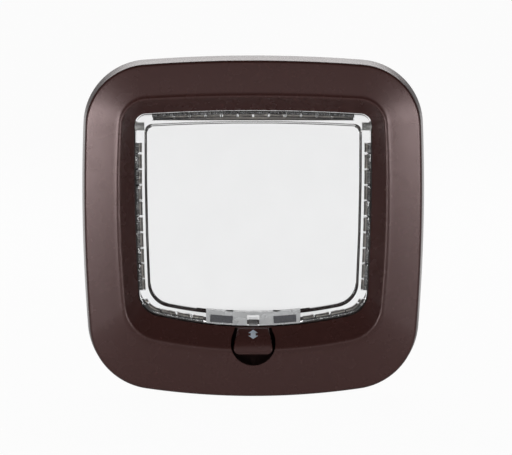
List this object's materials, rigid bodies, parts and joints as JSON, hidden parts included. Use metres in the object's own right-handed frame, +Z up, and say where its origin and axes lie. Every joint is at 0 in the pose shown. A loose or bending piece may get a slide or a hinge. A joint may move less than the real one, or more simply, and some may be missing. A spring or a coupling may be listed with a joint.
{
  "type": "cat flap",
  "caption": "Cat flap for a door: rounded brown trim with a sleeve, clear swinging flap with brush edges and magnets, sliding lock below and an inner trim clamped from behind.",
  "frame": {"origin": "middle of the door's cut-out, in the plane of the door's outer face that the front frame lies against", "axes": "+X to the right as seen from outside, +Y into the door and the house, +Z up"},
  "size_m": [0.2396, 0.0612, 0.2402],
  "materials": {
    "brown_trim": "satin",
    "clear_panel": "clear polycarbonate, polished",
    "clear_carrier": "clear plastic, frosted",
    "brush_pile": "short nylon pile",
    "magnet": "matt ferrite",
    "steel": "plain",
    "white_bush": "natural",
    "black_slide": "matt"
  },
  "bodies": {
    "frame": {"front_frame": "brown_trim", "rear_frame": "brown_trim", "sill_magnet_left": "magnet", "sill_magnet_right": "magnet", "hinge_pin_left": "steel", "hinge_pin_right": "steel", "lock_cover": "black_slide", "frame_screw_1": "steel", "frame_screw_2": "steel", "frame_screw_3": "steel", "frame_screw_4": "steel"},
    "flap": {"flap_panel": "clear_panel", "magnet_carrier": "clear_carrier", "lock_keeper": "clear_carrier", "brush_top": "brush_pile", "brush_left": "brush_pile", "brush_right": "brush_pile", "brush_bottom_left": "brush_pile", "brush_bottom_right": "brush_pile", "flap_magnet_left": "magnet", "flap_magnet_right": "magnet", "hinge_bush_left": "white_bush", "hinge_bush_right": "white_bush"},
    "latch": {"lock_slide": "black_slide", "lock_knob": "brown_trim"}
  },
  "joints": [
    {"name": "flap_swing", "type": "hinge", "parent": "frame", "child": "flap", "pos_m": [0, -0.0075, 0.0713], "axis": [1, 0, 0], "range_deg": [-85, 85]},
    {"name": "lock_travel", "type": "slide", "parent": "frame", "child": "latch", "axis": [0, 0, 1], "range_m": [0, 0.0055]}
  ]
}
